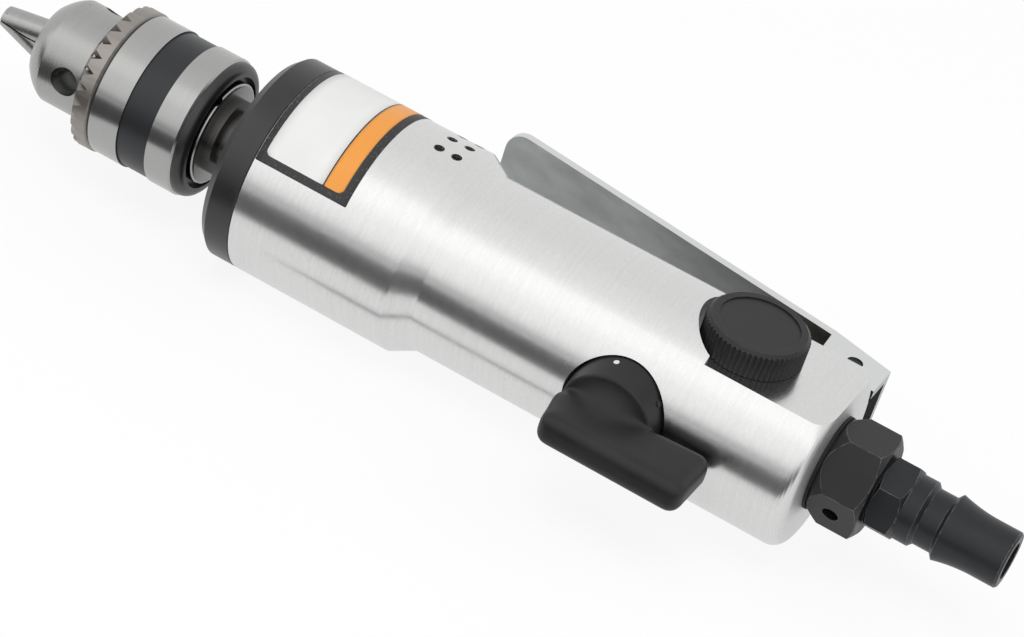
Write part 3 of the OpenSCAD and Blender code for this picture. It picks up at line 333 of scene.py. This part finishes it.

# Metals: colour, roughness, grain, the grain's contrast and its relief. Coats: colour, roughness, scale of
# the grain, its relief, gloss, and the colour and width of lighter edges, worn and partly a painted
# highlight
MATERIALS = {
    "turned_aluminium": faced(
        worked_metal("turned_aluminium", (0.82, 0.82, 0.815), 0.22, SATIN, 0.07, 0.09, rings=0.15),
        *REAR_FACES, {"Roughness": 0.5}),
    "gear_steel": worked_metal("gear_steel", (0.45, 0.45, 0.46), 0.34, TURNED, 0.15),
    # Painted shade: darker in holes and gaps, and a darker colour on faces that look to the rear as a
    # painted reflection of the dark cap
    "bright_steel": faced(
        worked_metal("bright_steel", (0.44, 0.44, 0.43), 0.26, TURNED, 0.08, 0.03, spots=0.7, painted_shade_reach=5 * MM),
        *REAR_FACES, {"Base Color": (0.27, 0.268, 0.265)}),
    "polished_steel": worked_metal("polished_steel", (0.70, 0.70, 0.70), 0.12, TURNED),
    "dark_steel": coated("dark_steel", (0.012, 0.013, 0.0155), 0.38, 900.0, 0.08, 0.38, STEEL_EDGE_WEAR_AND_HIGHLIGHT),
    "black_anodised": coated("black_anodised", (0.013, 0.013, 0.0135), 0.42, 900.0, 0.08, 0.34, STEEL_EDGE_WEAR_AND_HIGHLIGHT),
    # Painted shade: darker between the ring's teeth and in gaps
    "ring_steel": worked_metal("ring_steel", (0.385, 0.359, 0.333), 0.38, ALONG, 0.15, 0.03, painted_shade_reach=5 * MM),
    # Painted highlight: lighter on faces that look up. Painted shade: darker where the lever comes close to
    # the housing
    "zinc_sheet": faced(
        worked_metal("zinc_sheet", (0.55, 0.577, 0.566), 0.36, BLOTCHED, 0.24, 0.03, painted_shade_reach=22 * MM),
        *UP_FACES, {"Base Color": (0.78, 0.785, 0.79)}),
    "black_cap": coated("black_cap", (0.016, 0.016, 0.017), 0.33, 700.0, 0.05, 0.6, PLASTIC_EDGE_WEAR_AND_HIGHLIGHT),
    "black_plastic": coated(
        "black_plastic", (0.014, 0.014, 0.0145), 0.43, 1400.0, 0.12, 0.36, PLASTIC_EDGE_WEAR_AND_HIGHLIGHT, PLASTIC_EDGE_WIDTH),
    "brass": worked_metal("brass", (0.68, 0.52, 0.26), 0.3, TURNED),
    "rubber": coated("rubber", (0.012, 0.012, 0.012), 0.65, 600.0, 0.1, 0.3),
    "felt": coated("felt", (0.20, 0.19, 0.175), 0.9, 700.0, 0.6, 0.2),
    "gasket_board": coated("gasket_board", (0.24, 0.16, 0.10), 0.8, 500.0, 0.2, 0.2),
    "vane_board": coated("vane_board", (0.25, 0.14, 0.07), 0.55, 500.0, 0.1, 0.4),
    "sleeve": banded(
        worked_metal("sleeve_steel", (0.455, 0.455, 0.45), 0.2, TURNED, 0.05), *SLEEVE_BAND,
        {"Base Color": (0.012, 0.0135, 0.016), "Roughness": 0.36, "Metallic": 0.0}),
    # A dark brownish steel for the spacer between the chuck and the cap
    "brownish_dark_steel": worked_metal("brownish_dark_steel", (0.12, 0.117, 0.113), 0.34, TURNED, 0.2, 0.02),
}
# Nodes whose finish differs from their slot's
NODE_MATERIALS = {"chuck_sleeve": "sleeve", "spindle_spacer": "brownish_dark_steel"}


def dress_nodes():
    """Gives every solid the material of its slot."""
    slots = {s["node"]: s["material_slot"] for s in frame["record"]["subparts"]}
    for name, node in nodes.items():
        node.data.materials.clear()
        node.data.materials.append(MATERIALS[NODE_MATERIALS.get(name, slots[name])])


def new_piece(name, vertices, faces, smooth_count, material, body):
    """A piece from points and faces; the first faces, up to a count, are smooth."""
    mesh = bpy.data.meshes.new(name)
    mesh.from_pydata(vertices, [], faces)
    mesh.update()
    for polygon in mesh.polygons[:smooth_count]:
        polygon.use_smooth = True
    mesh.materials.append(material)
    piece = link_in(bpy.data.objects.new(name, mesh))
    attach(piece, body)
    return piece


# Blank label: a dark film with a pale field and a coloured strip, placed by the distance from the
# housing's front edge and by degrees round the spindle
LABEL_TURNS = (-62.0, 57.8)
LABEL_S = (0.05 * MM, 20.5 * MM)
LABEL_MARGIN = 1.75 * MM
FIELD_S = (1.4 * MM, 14.4 * MM)
STRIP_S = (14.7 * MM, 18.7 * MM)
FILM = 0.05 * MM
SINK = 0.02 * MM
FILM_CORNER = 0.25 * MM
FIELD_CORNER = 1.2 * MM
PATCH_COLUMNS = 96
PATCH_ROWS = 6


def corner_inset(gap, corner):
    """How far a rounded corner takes an edge in, at a gap from the end."""
    return corner - math.sqrt(max(corner ** 2 - (corner - min(gap, corner)) ** 2, 0))


def wrapped_patch(name, s_range, turn_range, r_range, corners, material):
    """A thin closed patch on the round front section, with rounded corners at its front and its rear."""
    (s0, s1), (t0, t1), r_out = s_range, turn_range, r_range[1]
    length = math.radians(t1 - t0) * r_out
    vertices, top, rest = [], [], []
    for i in range(PATCH_COLUMNS + 1):
        share = (1 - math.cos(math.pi * i / PATCH_COLUMNS)) / 2
        gap = min(share, 1 - share) * length
        front = s0 + corner_inset(gap, corners[0])
        rear = s1 - corner_inset(gap, corners[1])
        turn = math.radians(t0 + (t1 - t0) * share)
        for j in range(PATCH_ROWS + 1):
            s = front + (rear - front) * j / PATCH_ROWS
            for r in r_range:
                vertices.append((-s, r * math.sin(turn), r * math.cos(turn)))
    # Points go in pairs, inner then outer; a step leads from one column to the next
    step = 2 * (PATCH_ROWS + 1)
    for i in range(PATCH_COLUMNS):
        for j in range(PATCH_ROWS):
            a = i * step + 2 * j
            b = a + step
            top.append((a + 1, a + 3, b + 3, b + 1))
            rest.append((a, b, b + 2, a + 2))
        a, b = i * step, (i + 1) * step
        rest.append((a, a + 1, b + 1, b))
        a, b = a + 2 * PATCH_ROWS, b + 2 * PATCH_ROWS
        rest.append((a, b, b + 1, a + 1))
    for j in range(PATCH_ROWS):
        a = 2 * j
        rest.append((a, a + 2, a + 3, a + 1))
        b = PATCH_COLUMNS * step + 2 * j
        rest.append((b, b + 1, b + 3, b + 2))
    return new_piece(name, vertices, top + rest, len(top), material, "body")


def add_label():
    """The label's film, and its field and strip on top."""
    margin_turn = math.degrees(LABEL_MARGIN / BODY_R)
    inner_turns = (LABEL_TURNS[0] + margin_turn, LABEL_TURNS[1] - margin_turn)
    base = (BODY_R - SINK, BODY_R + FILM)
    top = (BODY_R + FILM / 2, BODY_R + 2 * FILM)
    black = printed("label_black", (0.030, 0.030, 0.031), 0.4, (0.10, 0.10, 0.10))
    white = printed("label_white", (0.78, 0.78, 0.77), 0.35)
    orange = printed("label_orange", (0.82, 0.33, 0.06), 0.35)
    wrapped_patch("label_film", LABEL_S, LABEL_TURNS, base, (FILM_CORNER, FILM_CORNER), black)
    wrapped_patch("label_field", FIELD_S, inner_turns, top, (FIELD_CORNER, FILM_CORNER), white)
    wrapped_patch("label_strip", STRIP_S, inner_turns, top, (FILM_CORNER, FIELD_CORNER), orange)


# The reverse switch's hub: its axis, and its tapered wall from the disc to the rim
SWITCH_S = 83.0 * MM
DISC_Y = 16.2 * MM
RIM_Y = 22.7 * MM
WALL_R = 10.3 * MM
RIM_R = 9.4 * MM
WALL_TAPER = (WALL_R - RIM_R) / (RIM_Y - DISC_Y)
# Blend of the hub into the grip: grid of the moulded form, passes, and how free the far edges are
SKIN_GRID = 0.3 * MM
BLEND_PASSES = 150
BLEND_FACTOR = 0.5
BLEND_RISE = 0.8 * MM
BLEND_FADE = 2.5 * MM
EDGE_SHARE = 0.12


def ramp_share(value, low, high):
    """0 below a low end, 1 above a high end, even between them."""
    return min(max((value - low) / (high - low), 0.0), 1.0)


def blend_weight(point, top_y):
    """How far a point of the handle gives way: most in the corner between the hub and the grip."""
    rise = ramp_share(point.y, RIM_Y, RIM_Y + BLEND_RISE)
    reach = math.hypot(point.x + SWITCH_S, point.z)
    near = 1 - ramp_share(reach, RIM_R - BLEND_FADE / 2, RIM_R + BLEND_FADE / 2)
    low = 1 - ramp_share(point.y, top_y - 2 * BLEND_FADE, top_y - BLEND_FADE)
    return rise * max(near * low, EDGE_SHARE)


def apply_modifiers(piece):
    """Makes a piece's modifiers part of its mesh."""
    bpy.context.view_layer.update()
    depsgraph = bpy.context.evaluated_depsgraph_get()
    piece.data = bpy.data.meshes.new_from_object(piece.evaluated_get(depsgraph))
    piece.modifiers.clear()


def add_switch_skin():
    """The reverse handle as one moulded form, with a smooth scoop between its hub and its grip."""
    piece = link_in(bpy.data.objects.new("reverse_handle_skin", nodes["reverse_handle"].data.copy()))
    remesh = piece.modifiers.new("grid", "REMESH")
    remesh.mode = "VOXEL"
    remesh.voxel_size = SKIN_GRID
    remesh.use_smooth_shade = True
    apply_modifiers(piece)
    top_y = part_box("reverse_handle")[1].y
    group = piece.vertex_groups.new(name="blend")
    for vertex in piece.data.vertices:
        group.add([vertex.index], blend_weight(vertex.co, top_y), "REPLACE")
    smooth = piece.modifiers.new("blend", "SMOOTH")
    smooth.factor = BLEND_FACTOR
    smooth.iterations = BLEND_PASSES
    smooth.vertex_group = group.name
    apply_modifiers(piece)
    piece.data.materials.clear()
    piece.data.materials.append(MATERIALS["black_plastic"])
    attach(piece, "reverse")
    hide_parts("reverse_handle")


# Marks on the hub's wall: turn, height on Y, radius and how far they stand off
DOT = (74.7, 17.76 * MM, 0.55 * MM, 0.06 * MM)
PIP = (140.6, 18.33 * MM, 0.6 * MM, 0.2 * MM)
MARK_SINK = 0.05 * MM
MARK_SIDES = 40


def wall_point(turn, across, up, lift):
    """A point on the hub's wall, or just off it."""
    wall = WALL_R - WALL_TAPER * (up - DISC_Y)
    angle = math.radians(turn) + across / wall
    return ((wall + lift) * math.cos(angle) - SWITCH_S, up, (wall + lift) * math.sin(angle))


def mark(name, turn, height, radius, lift, material):
    """A thin raised disc on the hub's wall."""
    vertices = []
    for i in range(MARK_SIDES):
        a = 2 * math.pi * i / MARK_SIDES
        for level in (-MARK_SINK, lift):
            vertices.append(wall_point(turn, radius * math.cos(a), height + radius * math.sin(a), level))
    count = len(vertices)
    ring = range(0, count, 2)
    faces = [(i, (i + 2) % count, (i + 3) % count, i + 1) for i in ring]
    faces += [tuple(ring)[::-1], tuple(i + 1 for i in ring)]
    return new_piece(name, vertices, faces, 0, material, "reverse")


def add_marks():
    """A pale dot and a raised pip."""
    mark("switch_dot", *DOT, printed("mark_white", (0.75, 0.75, 0.74), 0.4))
    mark("switch_pip", *PIP, MATERIALS["black_plastic"])


# The valve's spring, coiled as its solid is
SPRING_WIRE = 0.35 * MM
SPRING_COILS = 4
COIL_STEPS = 40
WIRE_SIDES = 12


def add_spring():
    """A coil between the ends of the spring's solid."""
    low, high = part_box("throttle_spring")
    middle = (low + high) / 2
    coil_r = (high.x - low.x) / 2 - SPRING_WIRE
    length = high.y - low.y - 2 * SPRING_WIRE
    steps = COIL_STEPS * SPRING_COILS
    vertices, faces = [], []
    for i in range(steps + 1):
        a = 2 * math.pi * SPRING_COILS * i / steps
        y = high.y - SPRING_WIRE - length * i / steps
        for k in range(WIRE_SIDES):
            b = 2 * math.pi * k / WIRE_SIDES
            r = coil_r + SPRING_WIRE * math.cos(b)
            x, z = middle.x + r * math.cos(a), middle.z + r * math.sin(a)
            vertices.append((x, y + SPRING_WIRE * math.sin(b), z))
    for i in range(steps):
        for k in range(WIRE_SIDES):
            a, b = i * WIRE_SIDES + k, i * WIRE_SIDES + (k + 1) % WIRE_SIDES
            faces.append((a, b, b + WIRE_SIDES, a + WIRE_SIDES))
    smooth_count = len(faces)
    end = steps * WIRE_SIDES
    faces += [tuple(range(WIRE_SIDES))[::-1], tuple(range(end, end + WIRE_SIDES))]
    steel = MATERIALS["bright_steel"]
    spring = new_piece("valve_spring", vertices, faces, smooth_count, steel, "body")
    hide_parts("throttle_spring")
    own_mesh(spring)


def add_camera():
    """The camera at the photograph's place."""
    data = bpy.data.cameras.new("camera")
    data.lens = CAMERA_LENS
    data.sensor_width = SENSOR_WIDTH
    data.clip_start = CLIP_START
    camera = link_in(bpy.data.objects.new("camera", data))
    back = CAMERA_RIGHT.cross(CAMERA_UP)
    turn = Matrix((CAMERA_RIGHT, CAMERA_UP, back)).transposed()
    camera.matrix_world = Matrix.Translation(CAMERA_AT) @ turn.to_4x4()
    bpy.context.scene.camera = camera


# The floor: half its width, its colour, how much of it glows, and the glow's level in reflections
FLOOR_SIZE = 3.0
FLOOR_COLOR = (0.9, 0.9, 0.9)
FLOOR_GLOW = 0.88
FLOOR_IN_METAL = 0.83
# Dark cards on the floor that only reflections see: outlines on X and Y, and brightness
CARD_LIFT = 0.5 * MM
CARD_ROUGHNESS = 0.9
DARK_CARD = ((-0.6, 0.058), (0.020, 0.057), (0.046, 0.048), (0.060, 0.028), (0.5, 0.028), (0.5, 0.4),
             (-0.6, 0.4))
DARK_CARD_LEVEL = 0.06
DARK_STRIP = ((-0.095, 0.0294), (-0.065, 0.0285), (-0.02, 0.0285), (0.0, 0.0294), (-0.02, 0.0303),
              (-0.065, 0.0303))
DARK_STRIP_LEVEL = 0.02


def add_sheet(name, outline, z):
    """A flat sheet of the stage."""
    mesh = bpy.data.meshes.new(name)
    mesh.from_pydata([(x, y, z) for x, y in outline], [], [tuple(range(len(outline)))])
    sheet = link_in(bpy.data.objects.new(name, mesh))
    return sheet


def mixed(tree, factor, one, two):
    """Blends two shaders by a factor."""
    mix = tree.nodes.new("ShaderNodeMixShader")
    tree.links.new(factor, mix.inputs["Fac"])
    tree.links.new(one, mix.inputs[1])
    tree.links.new(two, mix.inputs[2])
    return mix.outputs["Shader"]


def add_floor():
    """A pale floor: white to the camera with a soft shadow, a little greyer in reflections."""
    end = FLOOR_SIZE
    floor = add_sheet("floor", ((-end, -end), (end, -end), (end, end), (-end, end)), FLOOR_Z)
    material = bpy.data.materials.new("floor")
    material.use_nodes = True
    tree = material.node_tree
    tree.nodes.clear()
    output = tree.nodes.new("ShaderNodeOutputMaterial")
    matt = tree.nodes.new("ShaderNodeBsdfDiffuse")
    matt.inputs["Color"].default_value = (*FLOOR_COLOR, 1.0)
    glow = tree.nodes.new("ShaderNodeEmission")
    path = tree.nodes.new("ShaderNodeLightPath")
    mirrored = path.outputs["Is Glossy Ray"]
    tree.links.new(spread(tree, mirrored, 1.0, FLOOR_IN_METAL, 0.0, 1.0), glow.inputs["Strength"])
    seen = worked_out(tree, "MAXIMUM", path.outputs["Is Camera Ray"], mirrored)
    share = worked_out(tree, "MULTIPLY", seen, FLOOR_GLOW)
    surface = mixed(tree, share, matt.outputs["BSDF"], glow.outputs["Emission"])
    tree.links.new(surface, output.inputs["Surface"])
    floor.data.materials.append(material)


def add_card(name, outline, level):
    """A dark card on the floor that only reflections see."""
    card = add_sheet(name, outline, FLOOR_Z + CARD_LIFT)
    card.data.materials.append(new_material(name, shade(WHITE, level), 0.0, CARD_ROUGHNESS)[0])
    card.visible_camera = False
    card.visible_diffuse = False
    card.visible_shadow = False


# Lamps, which all aim at the drill's middle: place, size and power
LAMP_AIM = Vector((-0.05, 0.0, 0.0))
LAMPS = {
    "key": ((-0.1, 0.35, 0.9), (0.7, 0.5), 3.8),
    "side": ((-0.7, -0.3, 0.5), (0.4, 0.6), 1.6),
    "front": ((0.5, 0.5, 0.4), (0.4, 0.4), 1.3),
}


def add_light(name, at, size, power):
    """A soft lamp that lights paint and plastic; metal sees the world and the floor."""
    data = bpy.data.lights.new(name, "AREA")
    data.shape = "RECTANGLE"
    data.size, data.size_y = size
    data.energy = power
    light = link_in(bpy.data.objects.new(name, data))
    light.location = at
    light.rotation_euler = (LAMP_AIM - Vector(at)).to_track_quat("-Z", "Y").to_euler()
    light.visible_glossy = False


# The studio as metal sees it: brightness by the angle from straight up towards the camera's side
STUDIO = ((-180, 0.84), (-25, 0.84), (-5, 0.9), (10, 0.95), (17, 1.02), (25, 1.26), (44, 1.26), (54, 1.1),
          (68, 1.06), (79, 0.96), (86, 0.6), (90, 0.3), (180, 0.1))
STUDIO_SCALE = 2.0
ROOM_LIGHT = 0.55


def background(tree, strength, color=None):
    """A light from all round, white unless a colour's socket is given."""
    light = tree.nodes.new("ShaderNodeBackground")
    light.inputs["Strength"].default_value = strength
    if color:
        tree.links.new(color, light.inputs["Color"])
    else:
        light.inputs["Color"].default_value = (*WHITE, 1.0)
    return light.outputs["Background"]


def add_world():
    """White to the camera, a studio in reflections, and an even room for everything else."""
    world = bpy.data.worlds.new("world")
    bpy.context.scene.world = world
    world.use_nodes = True
    tree = world.node_tree
    tree.nodes.clear()
    axes = axes_of(tree, "Generated")
    turn = worked_out(tree, "ARCTAN2", axes["Y"], axes["Z"])
    ramp = tree.nodes.new("ShaderNodeValToRGB")
    stops = ramp.color_ramp.elements
    while len(stops) < len(STUDIO):
        stops.new(1.0)
    for stop, (angle, level) in zip(stops, STUDIO):
        stop.position = (angle + 180) / 360
        stop.color = (*shade(WHITE, level / STUDIO_SCALE), 1.0)
    tree.links.new(spread(tree, turn, 0.0, 1.0, -math.pi, math.pi), ramp.inputs["Fac"])
    path = tree.nodes.new("ShaderNodeLightPath")
    room = background(tree, ROOM_LIGHT)
    studio = background(tree, STUDIO_SCALE, ramp.outputs["Color"])
    lit = mixed(tree, path.outputs["Is Glossy Ray"], room, studio)
    shown = mixed(tree, path.outputs["Is Camera Ray"], lit, background(tree, 1.0))
    output = tree.nodes.new("ShaderNodeOutputWorld")
    tree.links.new(shown, output.inputs["Surface"])


add_camera()
dress_nodes()
add_label()
add_switch_skin()
add_marks()
add_spring()
add_floor()
add_world()
for lamp, values in LAMPS.items():
    add_light(lamp, *values)
add_card("dark_card", DARK_CARD, DARK_CARD_LEVEL)
add_card("dark_strip", DARK_STRIP, DARK_STRIP_LEVEL)
bpy.context.scene.view_settings.view_transform = "Standard"
